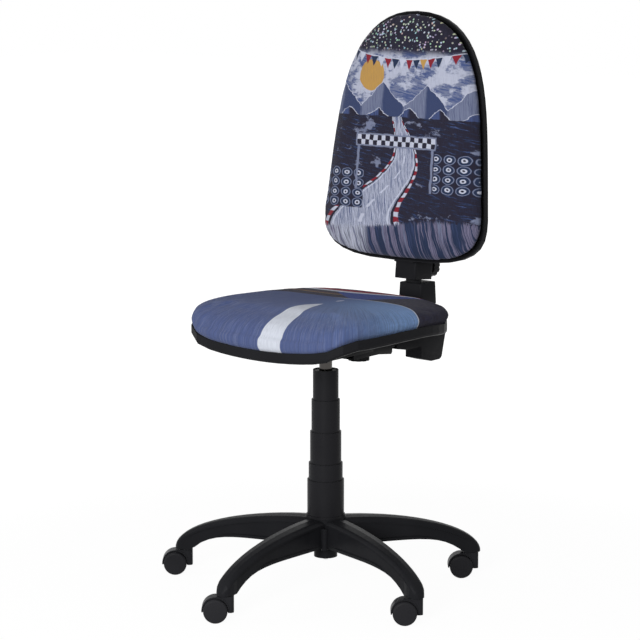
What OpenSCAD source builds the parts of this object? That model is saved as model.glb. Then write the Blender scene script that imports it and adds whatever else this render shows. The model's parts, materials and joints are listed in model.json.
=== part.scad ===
// Child's swivel chair on a tall gas column: five-arm plastic base on twin-wheel casters,
// telescopic column cover, upholstered seat in a plastic pan, and an upholstered backrest
// carried on an L-shaped steel bar. Millimetres. The floor is z = 0, the column is the z axis,
// the sitter faces -Y.

/* [Base] */
// Distance from the column axis to each caster stem
base_r = 328; // [300:1:345]
// Height of the flat top of the hub above the floor
hub_top_z = 157; // [150:1:160]
// Diameter of the hub
hub_d = 86; // [84:1:96]
// Half width of an arm where it leaves the hub
arm_half_hub = 27; // [24:0.5:30]
// Half width of an arm at its tip
arm_half_tip = 17; // [15:0.5:19]
// Height of the flat underside of each arm tip
arm_tip_z = 56; // [55:0.5:60]
// Thickness of the moulded walls of the base
base_wall = 4; // [3:0.5:5]

/* [Casters] */
// Diameter of each caster wheel
wheel_d = 50; // [46:1:52]
// Tread width of one wheel
wheel_w = 18; // [15:0.5:20]
// Horizontal distance from the stem to the axle
trail = 21; // [18:0.5:24]
// Diameter of the steel stem
stem_d = 11; // [10:0.5:12]
// Diameter of the axle
axle_d = 6; // [5:0.5:8]

/* [Column] */
// Outer diameter of the standing tube
tube_d = 50; // [48:0.5:51]
// Wall of the standing tube
tube_wall = 2; // [1.5:0.25:2.5]
// Height of the lower end of the standing tube
tube_bottom_z = 69; // [66:1:74]
// Height of the top of the standing tube
tube_top_z = 321; // [312:1:322]
// Diameter of the gas cylinder
gas_d = 28; // [27:0.25:28.5]
// Diameter of the piston rod
rod_d = 10; // [9:0.5:11]
// How far the seat can sink from the height shown
stroke_down = 170; // [150:1:170]
// How far the seat can rise from the height shown
stroke_up = 25; // [10:1:25]

/* [Column cover] */
// Wall of each cover tube
stage_wall = 1.6; // [1.2:0.1:1.8]
// Free gap between neighbouring cover tubes
stage_gap = 1.4; // [1.2:0.1:1.8]
// Length of each cover tube
stage_len = 80; // [76:1:81]
// Visible length of the fourth cover tube
show_4 = 36; // [35:1:40]
// Visible length of the third cover tube
show_3 = 68; // [60:1:70]
// Visible length of the second cover tube
show_2 = 69; // [60:1:70]
// Visible length of the first, thinnest cover tube
show_1 = 64; // [56:1:64]

/* [Mechanism] */
// Height of the underside of the steel housing
mech_bottom_z = 502; // [502:0.5:504]
// Inside half width of the housing
mech_half_w = 38; // [37:1:60]
// Thickness of the pressed steel
steel_t = 3; // [2.5:0.25:3.5]
// Diameter of the pivot shaft of the back bracket
pivot_d = 12; // [10:0.5:13]
// Width of the L-shaped back bar
bar_w = 38; // [34:1:38]
// Thickness of the L-shaped back bar
bar_t = 8; // [6:0.5:9]
// Diameter of the two hand knobs
knob_d = 46; // [40:1:50]

/* [Seat] */
// Width of the seat pan
seat_w = 450; // [440:1:480]
// Depth of the seat pan
seat_d = 444; // [420:1:455]
// Height of the top edge of the pan at its sides
rim_z = 583; // [579:1:586]
// How far the edge of the pan drops at the front
front_drop = 37; // [24:1:38]
// Height of the visible edge band of the pan
band_h = 23; // [20:0.5:26]
// Height of the crown of the seat cushion above the floor
seat_crown_z = 628; // [622:1:636]
// Thickness of the seat board
board_t = 12; // [10:0.5:13]

/* [Backrest] */
// Width of the backrest at its widest
back_w = 427; // [404:1:440]
// Height of the backrest along its own plane
back_h = 539; // [515:1:550]
// Lean of the backrest from upright, in degrees
back_tilt = 6; // [5:0.25:8]
// Height of the lowest point of the backrest
back_low_z = 679; // [678:1:683]
// Thickness of the backrest cushion at its crown
back_pad = 38; // [32:1:44]
// Depth of the side band of the backrest shell
back_band = 15; // [14:0.5:20]

/* [Hidden] */
$fn = 64;
cut_over = 1;
fit_gap = 0.1;
run_gap = 0.3;
spin_gap = 0.08;

// Base: each arm follows an elliptical dome above and a flat-ended arch below
arm_count = 5;
arm_step = 360 / arm_count;
arm_first = -90;
dome_over = 1;
arm_rise = hub_top_z + dome_over - arm_tip_z;
arm_tip_out = 21;
arm_end_r = base_r + arm_tip_out;
arm_end_nip = 0.3;
arm_rings = 20;
arch_start_r = 130;
arch_end_in = 18;
arch_end_r = base_r - arch_end_in;
arch_rise = 41;
arch_power = 4;
top_round = 8;
top_crown = 4.5;
crown_share = 0.6;
round_steps = 4;
arm_under = 0.5;
cap_band = 1.5;
lip_band = 6;
lip_least = 0.3;
panel_inset = 3.2;
panel_step = 2.4;
panel_from_r = 60;
panel_end_in = 25;
panel_to_r = base_r - panel_end_in;
panel_fade = 25;
lip_end_r = 210;
lip_fade = 60;
nose_squeeze_share = 0.45;
nose_power = 2.2;
web_r = 10;
web_taper_share = 0.72;
web_at_r = 48;
web_drop = 16;
rib_t = 3;
hub_foot = 3;
hub_bottom_z = arm_tip_z + arch_rise - hub_foot;
socket_wall = 8;
stem_in_arm = 22;

// Casters
wheel_r = wheel_d / 2;
stem_wheel_gap = 0.5;
wheel_gap_half = stem_d / 2 + stem_wheel_gap;
wheel_round = 4;
wheel_clear = 0.8;
hood_t = 3;
hood_half = 14;
hood_under = 2;
hood_top_z = arm_tip_z - hood_under;
nose_front = 16.5;
nose_half = 12.5;
nose_round = 7;
nose_bottom_z = 20;
hood_end_drop = 3;
stem_low_z = 34;
stem_ring_h = 3;
stem_ring_out = 0.6;
axle_cap_t = 1;
caster_heading = 218.5;

// Column, from the floor of the standing tube upwards
tube_r = tube_d / 2;
tube_floor_t = 4;
tube_floor_z = tube_bottom_z + tube_floor_t;
race_t = 2;
race_r = 15;
ball_space = 6;
ball_r = 2.95;
ball_circle_r = 10;
ball_count = 8;
cage_t = 2.4;
bump_h = 7.5;
bump_r = 12;
race_top_z = tube_floor_z + race_t + ball_space + race_t;
bump_top_z = race_top_z + bump_h;
gas_r = gas_d / 2;
gas_wall = 1.5;
gas_bottom_z = bump_top_z + cut_over + stroke_down;
gas_bore_up = 20;
gas_bore_top_z = mech_bottom_z + gas_bore_up;
gland_h = 14;
piston_h = 12;
piston_stop = 2;
piston_z = gas_bottom_z + gland_h + stroke_up + piston_stop;
bush_len = 70;
rod_r = rod_d / 2;
rod_out = 7;
rod_low_z = tube_bottom_z - rod_out;
clip_t = 1.6;
clip_r = 9;
taper_len = 38;
taper_in = 1.2;
socket_r = 20;
valve_r = 4;
valve_h = 4;
valve_top_z = mech_bottom_z + taper_len + valve_h;

// Column cover
stage_run = 0.65;
stage_lip = 1.5;
stage_foot = 3;
collar_drop = 1.5;
collar_t = 2.5;
collar_fins = 10;
fin_slot_w = 2.4;
base_ring_h = 5;
base_ring_out = 2.2;
function stage_r(k) = tube_r + stage_run + stage_wall + (k - 1) * (stage_wall + stage_gap);
stage_lift = 1;
stage_5_top_z = hub_top_z + stage_len + stage_lift;
stage_tops = [
    stage_5_top_z + show_4 + show_3 + show_2 + show_1,
    stage_5_top_z + show_4 + show_3 + show_2,
    stage_5_top_z + show_4 + show_3,
    stage_5_top_z + show_4,
    stage_5_top_z
];

// Mechanism
mech_top_z = 554;
mech_front_y = -85;
mech_floor_rear_y = 28;
mech_wall_rear_y = 112;
plate_half_w = 92;
plate_front_y = -95;
plate_rear_y = 130;
pivot_y = 70;
pivot_z = 519;
pivot_head = 4;
bracket_half_w = 35;
bracket_front_y = 52;
bracket_rear_y = 188;
skirt_front_y = 140;
skirt_low_y = 184;
skirt_drop = 5.5;
bracket_top_z = 533;
bar_z = 498;
bar_front_y = 58;
bar_bend_r = 22;
bar_end_up = 150;
bracket_floor_t = 3;
guide_t = 3;
guide_len = 16;
depth_knob_y = 115;
knob_h = 11;
knob_flutes = 10;
knob_flute_r = 4;
knob_flute_out = 2;
knob_screw_r = 4;
knob_neck_r = 9;
knob_neck_h = 1;
spring_wire = 1.6;
spring_r = pivot_d / 2 + spring_wire + run_gap;
spring_turns = 7;
spring_half = 13;
lever_r = 3;
lever_facets = 16;
lever_bend_x = -28;
lever_y = -20;
lever_z = valve_top_z + lever_r + run_gap;
lever_tip_x = 7;
lever_knee_x = -62;
lever_end_x = -132;
lever_end_z = 484;
paddle_in_x = -126;
paddle_out_x = -175;
paddle_half = 11;
paddle_t = 11;
paddle_round = 5;
bolt_r = 4;
bolt_head_r = 7;
bolt_head_h = 5;
bolt_x = 76;
bolt_front_y = -68;
bolt_rear_y = 104;
bolt_play = 0.4;
bolt_hole_r = bolt_r + bolt_play;

// Elbow and sleeve on the back bar
elbow_half_w = 21.5;
elbow_front_out = 3;
elbow_under = 12;
elbow_rear_out = 55;
elbow_bulge_up = 42;
elbow_bulge_h = 26;
elbow_nip = 6;
elbow_top_out = 4;
boot_front_in = 75;
boot_front_rise = 7;
boot_step_in = 37;
boot_over = 6;
boot_neck_in = 10;
boot_neck_up = 12;
lobe_under = 50;
lobe_front_in = 15;
lobe_flat_in = 55;
lobe_rear_out = 37;
lobe_rise = 11;
lobe_round = 13;
sleeve_half_w = 32;
sleeve_front_y = 297;
sleeve_rear_y = 356;
sleeve_low_z = 575;
sleeve_top_z = 624;
sleeve_wall = 3;
sleeve_round = 5;
sleeve_taper_share = 0.94;

// Seat: a rounded outline whose edge drops at the front
seat_half_w = seat_w / 2;
seat_half_d = seat_d / 2;
seat_front_power = 6.4;
seat_rear_power = 3.4;
seat_top_power = 5.4;
rear_drop = 12;
front_fall_from_share = 0.82;
front_fall_to_share = 1;
rear_fall_from_share = 0.20;
seat_steps = 56;
pan_floor_z = mech_top_z + steel_t;
pan_wall = 3;
pan_turn_share = 0.975;
pan_inner_share = 0.93;
pan_flat_share = 0.80;
board_share = 0.80;
seat_bulge_z = 18;
seat_rear_sink = 9;
front_corner_share = 0.6;
seat_bulge_front = 2.5;
seat_bulge_rear = 7;
seat_bulge_turn_share = 0.6;
seat_tuck = 6;
seat_tuck_in = 5.5;
arm_hole_x = 155;
arm_hole_gap = 60;
arm_hole_r = 3.25;
arm_clear_r = 8;

// Backrest, drawn in its own plane: x across, y to the rear, z up from its lowest point
back_seam_y = 264;
back_half_w = back_w / 2;
back_belly_share = 0.185;
back_corner_power = 3.15;
back_top_power = 5;
back_top_root_share = 0.4545;
back_narrow_share = 0.18;
back_steps = 56;
back_centre_share = 0.45;
back_edge = 10;
back_lip = 2;
back_seam_in = 0.4;
back_dome = 18;
back_wall = 3;
back_pad_power = 5;
back_board_t = 10;
back_board_share = 0.88;
bar_in_back = 53;
hump_half_w = 38;
hump_wall = 3;
hump_low = -2;
hump_top = 165;
hump_end = 240;
hump_end_half = 26;
hump_edge = 2;
hump_depth = 69;
hump_round = 12;
hump_mid_share = 0.72;
hump_mid_half = hump_end_half + hump_mid_share * (hump_half_w - hump_end_half);
hump_mid_depth = back_band + hump_mid_share * (hump_depth - back_band);
carriage_half_w = 28.5;
carriage_front = 18;
carriage_rear = 83;
carriage_low = -41;
carriage_top = -4;
carriage_round = 5;
guide_half_w = 25;
guide_rear = 63;
guide_top = 112;
flange_half_w = 32;
flange_t = 3.5;
flange_low = 12;
screw_x = 28.5;
screw_low = 24;
screw_high = 98;
screw_r = 2.4;
screw_head_r = 3.4;
screw_head_h = 2.4;
screw_in = 6;
height_knob_z = -15;
height_knob_h = 19;
height_knob_neck = 15;

// Shared shapes
function smooth(t) = let (c = min(1, max(0, t))) c * c * (3 - 2 * c);

// Closed skin through a list of rings that all have the same number of points
module loft(rings) {
    n = len(rings[0]);
    m = len(rings);
    points = [for (ring = rings) for (p = ring) p];
    ones = [for (p = rings[0]) 1];
    ends = [
        for (ring = [rings[0], rings[m - 1]])
            [for (axis = [0:2]) [for (p = ring) p[axis]] * ones / n]
    ];
    sides = [
        for (j = [0:m - 2]) for (i = [0:n - 1])
            let (a = j * n + i, b = j * n + (i + 1) % n, c = a + n, d = b + n)
                each [[d, b, a], [c, d, a]]
    ];
    low = [for (i = [0:n - 1]) [i, (i + 1) % n, m * n]];
    high = [for (i = [0:n - 1]) [(m - 1) * n + (i + 1) % n, (m - 1) * n + i, m * n + 1]];
    polyhedron(concat(points, ends), concat(sides, low, high));
}

module ring_tube(r_out, r_in, z_low, z_high) {
    translate([0, 0, z_low])
        difference() {
            cylinder(h = z_high - z_low, r = r_out);
            translate([0, 0, -cut_over]) cylinder(h = z_high - z_low + 2 * cut_over, r = r_in);
        }
}

// Block with rounded upright edges, drawn in towards the axis at its top when scaled
module soft_block(x_low, x_high, y_low, y_high, h, r, top_share = 1) {
    linear_extrude(h, scale = top_share)
        union() {
            translate([x_low + r, y_low]) square([x_high - x_low - 2 * r, y_high - y_low]);
            translate([x_low, y_low + r]) square([x_high - x_low, y_high - y_low - 2 * r]);
            for (x = [x_low + r, x_high - r], y = [y_low + r, y_high - r]) translate([x, y]) circle(r = r);
        }
}

module hand_knob(h) {
    difference() {
        cylinder(h = h, d = knob_d);
        for (i = [0:knob_flutes - 1])
            rotate([0, 0, i * 360 / knob_flutes])
                translate([knob_d / 2 + knob_flute_out, 0, -cut_over])
                    cylinder(h = h + 2 * cut_over, r = knob_flute_r, $fn = 32);
    }
}

// Five-arm base
function dome_z(r) = arm_tip_z + arm_rise * sqrt(max(0, 1 - pow(r / arm_end_r, 2)));
function arch_z(r) =
    r < arch_start_r ? arm_tip_z + arch_rise
    : r > arch_end_r ? arm_tip_z
    : arm_tip_z + arch_rise * (1 - pow((r - arch_start_r) / (arch_end_r - arch_start_r), arch_power));
arm_rs = [for (k = [0:arm_rings]) (arm_end_r - arm_end_nip) * sin(90 * k / arm_rings)];
function arm_half(r) =
    r < base_r ? arm_half_hub + (arm_half_tip - arm_half_hub) * r / base_r
    : arm_half_tip * pow(max(0, 1 - pow((r - base_r) / (arm_end_r - base_r), nose_power)), 1 / nose_power);
function panel_share(r) =
    smooth((r - panel_from_r) / panel_fade) * (1 - smooth((r - panel_to_r) / panel_fade));

// Cross-section of an arm: side panel set in between a rounded top and a lip
function arm_section(r) =
    let (
        h = arm_half(r),
        t = min(hub_top_z - arm_under, dome_z(r)),
        b = arch_z(r),
        f = min(top_round, nose_squeeze_share * (t - b), 0.8 * h),
        fifth = (t - b) / 5,
        cap = min(cap_band, fifth),
        step = min(panel_step, fifth),
        crown = min(top_crown, fifth * crown_share),
        edge = t - f - crown,
        lip_left = 1 - smooth((r - lip_end_r) / lip_fade),
        lip = max(min(lip_least, fifth / 2), min(lip_band, fifth) * lip_left),
        inset = panel_inset * panel_share(r),
        lip_in = inset * smooth((r - lip_end_r) / lip_fade),
        side = concat(
            [[h - lip_in, b], [h - lip_in, b + lip], [h - inset, b + lip + step / 2]],
            [[h - inset, edge - cap - step / 5], [h, edge - cap * 0.8]],
            [for (k = [0:round_steps]) let (q = 90 * k / round_steps)
                [h - f + f * cos(q), t - f + f * sin(q) - crown * pow((h - f + f * cos(q)) / h, 2)]]
        ),
        n = len(side)
    )
        concat(
            [for (p = side) [r, p[0], p[1]]],
            [[r, 0, t]],
            [for (i = [n - 1:-1:0]) [r, -side[i][0], side[i][1]]]
        );

// Hollow under an arm, open below
function hollow_section(r) =
    let (h = arm_half(r) - panel_inset - base_wall, t = min(hub_top_z, dome_z(r)) - base_wall - top_crown)
        [
            [r, h, 0], [r, h, t - top_round / 2], [r, h - top_round / 2, t],
            [r, top_round / 2 - h, t], [r, -h, t - top_round / 2], [r, -h, 0]
        ];
hollow_in = hub_d / 2 + base_wall;
hollow_out = base_r - stem_d / 2 - socket_wall;
hollow_steps = 10;

module arm_hollow() {
    middle = (hollow_in + hollow_out) / 2;
    difference() {
        loft([
            for (k = [0:hollow_steps])
                hollow_section(hollow_in + (hollow_out - hollow_in) * sin(90 * k / hollow_steps))
        ]);
        for (a = [-45, 45])
            translate([middle, 0, 0]) rotate([0, 0, a])
                translate([-arm_half_hub, -rib_t / 2, arm_tip_z]) cube([2 * arm_half_hub, rib_t, arm_rise]);
    }
}

module at_arms() {
    for (i = [0:arm_count - 1]) rotate([0, 0, arm_first + i * arm_step]) children();
}

module star_base() {
    color("#17171a")
        difference() {
            union() {
                at_arms() loft([for (r = arm_rs) arm_section(r)]);
                translate([0, 0, hub_bottom_z]) cylinder(h = hub_top_z - hub_bottom_z, d = hub_d);
                rotate([0, 0, arm_step / 2]) at_arms()
                    translate([web_at_r, 0, hub_bottom_z])
                        cylinder(
                            h = hub_top_z - hub_bottom_z - web_drop,
                            r1 = web_r * web_taper_share, r2 = web_r, $fn = 32
                        );
            }
            at_arms() arm_hollow();
            translate([0, 0, hub_bottom_z - cut_over])
                cylinder(h = hub_top_z - hub_bottom_z + 2 * cut_over, r = tube_r + fit_gap);
            at_arms() translate([base_r, 0, arm_tip_z - cut_over])
                cylinder(h = stem_in_arm + cut_over + fit_gap, r = stem_d / 2 + fit_gap);
        }
}

module at_caster(i) {
    angle = arm_first + (i - 1) * arm_step;
    translate([base_r * cos(angle), base_r * sin(angle), 0])
        rotate([0, 0, caster_heading]) children();
}

// Stems are fixed in the arms; each has a spring ring that grips its socket
module caster_stems() {
    color("#8d9094")
        for (i = [1:arm_count])
            at_caster(i)
                union() {
                    translate([0, 0, stem_low_z])
                        cylinder(h = arm_tip_z + stem_in_arm - stem_low_z, r = stem_d / 2);
                    translate([0, 0, arm_tip_z - stem_ring_h])
                        cylinder(h = stem_ring_h - fit_gap, r = stem_d / 2 + stem_ring_out);
                }
}

// Twin-wheel body: nose round the stem, web on the axle and hood over both wheels
module caster_fork() {
    color("#1d1e21")
        difference() {
            union() {
                translate([0, 0, nose_bottom_z])
                    soft_block(
                        -nose_front, trail, -nose_half, nose_half,
                        hood_top_z - nose_bottom_z, nose_round
                    );
                translate([trail, 0, wheel_r]) rotate([90, 0, 0])
                    difference() {
                        translate([0, 0, -hood_half])
                            cylinder(h = 2 * hood_half, r = wheel_r + wheel_clear + hood_t);
                        translate([-2 * wheel_r, -2 * wheel_r - hood_end_drop, -hood_half - cut_over])
                            cube([4 * wheel_r, 2 * wheel_r, 2 * (hood_half + cut_over)]);
                    }
                translate([trail, 0, wheel_r]) rotate([90, 0, 0])
                    translate([0, 0, -wheel_gap_half + wheel_clear])
                        cylinder(h = 2 * (wheel_gap_half - wheel_clear), r = wheel_r - hood_t);
            }
            for (side = [-1, 1])
                translate([trail, side * (wheel_gap_half - wheel_clear), wheel_r])
                    rotate([side * -90, 0, 0]) cylinder(h = wheel_d, r = wheel_r + wheel_clear);
            translate([0, 0, stem_low_z - run_gap])
                cylinder(h = hood_top_z, r = stem_d / 2 + spin_gap);
            translate([0, 0, arm_tip_z - stem_ring_h - run_gap])
                cylinder(h = hood_top_z, r = stem_d / 2 + stem_ring_out + run_gap);
            translate([trail, 0, wheel_r]) rotate([90, 0, 0])
                translate([0, 0, -wheel_d]) cylinder(h = 2 * wheel_d, r = axle_d / 2 + fit_gap);
        }
}

module caster_axle() {
    half = wheel_gap_half + wheel_w - axle_cap_t - run_gap;
    color("#8d9094")
        translate([trail, 0, wheel_r]) rotate([90, 0, 0])
            translate([0, 0, -half]) cylinder(h = 2 * half, r = axle_d / 2);
}

module caster_wheel(side) {
    color("#232428")
        translate([trail, 0, wheel_r]) rotate([side * -90, 0, 0]) translate([0, 0, wheel_gap_half])
            difference() {
                rotate_extrude()
                    polygon(concat(
                        [[0, 0], [wheel_r, 0]],
                        [for (a = [0:15:90])
                            [wheel_r - wheel_round * (1 - cos(a)), wheel_w - wheel_round * (1 - sin(a))]],
                        [[0, wheel_w]]
                    ));
                translate([0, 0, -cut_over])
                    cylinder(h = cut_over + wheel_w - axle_cap_t, r = axle_d / 2 + spin_gap);
            }
}

// Gas column
module column_tube() {
    color("#1b1b1e")
        difference() {
            translate([0, 0, tube_bottom_z]) cylinder(h = tube_top_z - tube_bottom_z, r = tube_r);
            translate([0, 0, tube_floor_z])
                cylinder(h = tube_top_z - tube_floor_z + cut_over, r = tube_r - tube_wall);
            translate([0, 0, tube_bottom_z - cut_over])
                cylinder(h = tube_floor_t + 2 * cut_over, r = rod_r + spin_gap);
        }
}

module guide_bush() {
    color("#d8d8d2")
        ring_tube(tube_r - tube_wall - fit_gap, gas_r + spin_gap, tube_top_z - bush_len, tube_top_z);
}

module thrust_race() {
    color("#a9acb0")
        ring_tube(race_r, rod_r + spin_gap, tube_floor_z + fit_gap / 2, tube_floor_z + race_t);
}

module thrust_balls() {
    centre_z = tube_floor_z + race_t + ball_space / 2;
    color("#c4c7cb") {
        translate([0, 0, centre_z - cage_t / 2])
            difference() {
                cylinder(h = cage_t, r = race_r);
                translate([0, 0, -cut_over]) cylinder(h = cage_t + 2 * cut_over, r = rod_r + fit_gap);
                for (i = [0:ball_count - 1])
                    rotate([0, 0, i * 360 / ball_count])
                        translate([ball_circle_r, 0, -cut_over])
                            cylinder(h = cage_t + 2 * cut_over, r = ball_r + fit_gap);
            }
        for (i = [0:ball_count - 1])
            rotate([0, 0, i * 360 / ball_count])
                translate([ball_circle_r, 0, centre_z]) sphere(r = ball_r);
    }
}

module thrust_cap() {
    color("#a9acb0")
        ring_tube(race_r, rod_r + fit_gap, race_top_z - race_t, race_top_z);
}

module bump_rubber() {
    color("#111111")
        ring_tube(bump_r, rod_r + fit_gap, race_top_z + fit_gap, bump_top_z);
}

module rod_clip() {
    color("#a9acb0")
        ring_tube(clip_r, rod_r + fit_gap, tube_bottom_z - run_gap - clip_t, tube_bottom_z - run_gap);
}

module piston_rod() {
    color("#c4c7cb")
        union() {
            translate([0, 0, rod_low_z]) cylinder(h = piston_z + piston_h - rod_low_z, r = rod_r);
            translate([0, 0, piston_z]) cylinder(h = piston_h, r = gas_r - gas_wall - spin_gap);
        }
}

module rod_gland() {
    color("#2a2a2a")
        ring_tube(
            gas_r - gas_wall - fit_gap, rod_r + spin_gap,
            gas_bottom_z + fit_gap, gas_bottom_z + gland_h
        );
}

module gas_cylinder() {
    color("#b9bcc0")
        difference() {
            union() {
                translate([0, 0, gas_bottom_z]) cylinder(h = mech_bottom_z - gas_bottom_z, r = gas_r);
                translate([0, 0, mech_bottom_z])
                    cylinder(h = taper_len, r1 = gas_r, r2 = gas_r - taper_in);
            }
            translate([0, 0, gas_bottom_z - cut_over])
                cylinder(h = gas_bore_top_z - gas_bottom_z + cut_over, r = gas_r - gas_wall);
            translate([0, 0, mech_bottom_z + taper_len - valve_h - run_gap])
                cylinder(h = valve_h + cut_over + run_gap, r = valve_r + run_gap);
        }
}

module valve_pin() {
    color("#c4c7cb")
        translate([0, 0, mech_bottom_z + taper_len])
            cylinder(h = valve_h, r = valve_r);
}

// Cover tube k, counted from the thinnest at the top; each hangs on the lip of the next
module cover_stage(k) {
    r = stage_r(k);
    top = stage_tops[k - 1];
    low = top - stage_len;
    bore = r - stage_wall;
    lip_r = k == 1 ? gas_r + run_gap : stage_r(k - 1) + run_gap;
    foot_r = stage_r(k) + stage_gap - run_gap;
    color("#202124") {
        difference() {
            union() {
                translate([0, 0, low]) cylinder(h = stage_len, r = r);
                if (k < 5) translate([0, 0, low]) cylinder(h = stage_foot, r = foot_r);
                if (k == 5) translate([0, 0, low - stage_lift])
                    cylinder(h = base_ring_h, r = r + base_ring_out);
            }
            translate([0, 0, low - stage_lift - cut_over])
                cylinder(
                    h = stage_len + stage_lift + cut_over - (k == 1 ? collar_drop + collar_t : stage_lip),
                    r = bore
                );
            translate([0, 0, low]) cylinder(h = stage_len + cut_over, r = lip_r);
            if (k == 1) {
                translate([0, 0, top - collar_drop]) cylinder(h = stage_len, r = bore);
                for (i = [0:collar_fins - 1])
                    rotate([0, 0, i * 360 / collar_fins])
                        translate([gas_r, -fin_slot_w / 2, top - collar_drop - collar_t - cut_over])
                            cube([(bore - gas_r) * 0.6, fin_slot_w, collar_t + 2 * cut_over]);
            }
        }
    }
}

// Seat mechanism
module taper_socket() {
    color("#1f2023")
        translate([0, 0, mech_bottom_z])
            difference() {
                cylinder(h = taper_len, r = socket_r);
                translate([0, 0, -cut_over])
                    cylinder(
                        h = taper_len + 2 * cut_over,
                        r1 = gas_r + fit_gap + taper_in * cut_over / taper_len,
                        r2 = gas_r - taper_in + fit_gap - taper_in * cut_over / taper_len
                    );
            }
}

module mech_housing() {
    wall_out = mech_half_w + steel_t;
    color("#1f2023")
        difference() {
            union() {
                translate([-wall_out, mech_front_y, mech_bottom_z])
                    cube([2 * wall_out, mech_floor_rear_y - mech_front_y, steel_t]);
                translate([-wall_out, mech_front_y, mech_bottom_z])
                    cube([2 * wall_out, steel_t, mech_top_z - mech_bottom_z]);
                for (x = [-wall_out, mech_half_w])
                    translate([x, mech_front_y, mech_bottom_z])
                        cube([steel_t, mech_wall_rear_y - mech_front_y, mech_top_z - mech_bottom_z]);
                translate([-plate_half_w, plate_front_y, mech_top_z])
                    cube([2 * plate_half_w, plate_rear_y - plate_front_y, steel_t - fit_gap]);
            }
            translate([0, 0, mech_bottom_z - cut_over])
                cylinder(h = steel_t + 2 * cut_over, r = socket_r + fit_gap);
            translate([-wall_out - cut_over, pivot_y, pivot_z]) rotate([0, 90, 0])
                cylinder(h = 2 * (wall_out + cut_over), r = pivot_d / 2 + fit_gap);
            translate([-wall_out - cut_over, lever_y, lever_z]) rotate([0, 90, 0])
                cylinder(h = steel_t + 2 * cut_over, r = lever_r + spin_gap);
            for (x = [-bolt_x, bolt_x], y = [bolt_front_y, bolt_rear_y])
                translate([x, y, mech_top_z - cut_over])
                    cylinder(h = steel_t + 2 * cut_over, r = bolt_hole_r);
        }
}

module pivot_shaft() {
    half = mech_half_w + steel_t;
    color("#a9acb0")
        translate([0, pivot_y, pivot_z]) rotate([0, 90, 0])
            union() {
                translate([0, 0, -half - pivot_head])
                    cylinder(h = 2 * (half + pivot_head), r = pivot_d / 2);
                for (z = [-half - pivot_head, half + fit_gap])
                    translate([0, 0, z]) cylinder(h = pivot_head - fit_gap, r = pivot_d / 2 + steel_t);
            }
}

// Torsion spring wound on the pivot shaft
module back_spring() {
    steps = 20;
    sides = 6;
    start = -spring_half;
    color("#56585c")
        translate([0, pivot_y, pivot_z])
            loft([
                for (j = [0:steps * spring_turns])
                    let (a = 360 * j / steps, x = start + 2 * spring_half * j / (steps * spring_turns))
                        [for (s = [0:sides - 1])
                            let (b = 360 * s / sides, r = spring_r + spring_wire * cos(b))
                                [x + spring_wire * sin(b), r * cos(a), r * sin(a)]]
            ]);
}

module rod_between(a, b, r) {
    d = b - a;
    length = norm(d);
    translate(a) rotate([0, acos(d[2] / length), atan2(d[1], d[0])]) cylinder(h = length, r = r, $fn = 32);
}

lever_route = [
    [lever_tip_x, 0, lever_z],
    [lever_bend_x, lever_y, lever_z],
    [lever_knee_x, lever_y, lever_z],
    [lever_end_x, lever_y, lever_end_z]
];
lever_steps = len(lever_route) - 1;
function unit(v) = v / norm(v);
lever_dirs = [for (i = [0:lever_steps - 1]) unit(lever_route[i + 1] - lever_route[i])];
// Ring round the rod at a corner of its route, lying in the plane that halves the bend
function lever_ring(i) =
    let (
        d = lever_dirs[max(0, i - 1)],
        cut = d + lever_dirs[min(lever_steps - 1, i)],
        side = unit(cross(d, [0, 0, 1])),
        up = cross(side, d)
    )
        [
            for (k = [0:lever_facets - 1])
                let (a = 360 * k / lever_facets, p = lever_r * (cos(a) * up + sin(a) * side))
                    lever_route[i] + p - d * (p * cut) / (d * cut)
        ];
module lever_rod() {
    color("#2a2b2e") loft([for (i = [0:lever_steps]) lever_ring(i)]);
}

module lever_paddle() {
    color("#151517")
        difference() {
            translate([0, 0, lever_end_z - paddle_t / 2])
                soft_block(
                    paddle_out_x, paddle_in_x, lever_y - paddle_half, lever_y + paddle_half,
                    paddle_t, paddle_round
                );
            rod_between(lever_route[3] - [fit_gap, 0, fit_gap], lever_route[2], lever_r + fit_gap);
        }
}

// Prism across the chair from a side view in [y, z]
module side_prism(points, half_w) {
    translate([-half_w, 0, 0]) rotate([90, 0, 90]) linear_extrude(2 * half_w) polygon(points);
}
function side_box(y_low, y_high, z, h) = [[y_low, z], [y_high, z], [y_high, z + h], [y_low, z + h]];

// Bracket that turns on the pivot shaft and holds the back bar
bracket_floor_z = bar_z - bar_t / 2 - run_gap - bracket_floor_t;
module back_bracket() {
    guide_z = bar_z + bar_t / 2 + run_gap;
    cheek_y = (bracket_front_y + bracket_rear_y) / 2;
    color("#1f2023")
        difference() {
            union() {
                side_prism(
                    side_box(bracket_front_y, bracket_rear_y, bracket_floor_z, bracket_floor_t),
                    bracket_half_w
                );
                for (x = [-bracket_half_w, bracket_half_w - steel_t])
                    translate([x, 0, 0]) rotate([90, 0, 90]) linear_extrude(steel_t)
                        polygon([
                            [bracket_front_y, bracket_floor_z],
                            [skirt_front_y, bracket_floor_z],
                            [skirt_low_y, bracket_floor_z - skirt_drop],
                            [bracket_rear_y, bracket_floor_z - bracket_floor_t / 2],
                            [bracket_rear_y, guide_z + guide_t],
                            [cheek_y, guide_z + guide_t],
                            [cheek_y, bracket_top_z],
                            [bracket_front_y, bracket_top_z]
                        ]);
                for (y = [bracket_front_y + 2 * guide_len, bracket_rear_y - guide_len])
                    side_prism(side_box(y, y + guide_len, guide_z, guide_t), bracket_half_w);
            }
            translate([-bracket_half_w - cut_over, pivot_y, pivot_z]) rotate([0, 90, 0])
                cylinder(h = 2 * (bracket_half_w + cut_over), r = pivot_d / 2 + spin_gap);
            translate([0, depth_knob_y, bracket_floor_z - cut_over])
                cylinder(h = bracket_floor_t + 2 * cut_over, r = knob_screw_r + spin_gap);
        }
}

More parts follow.
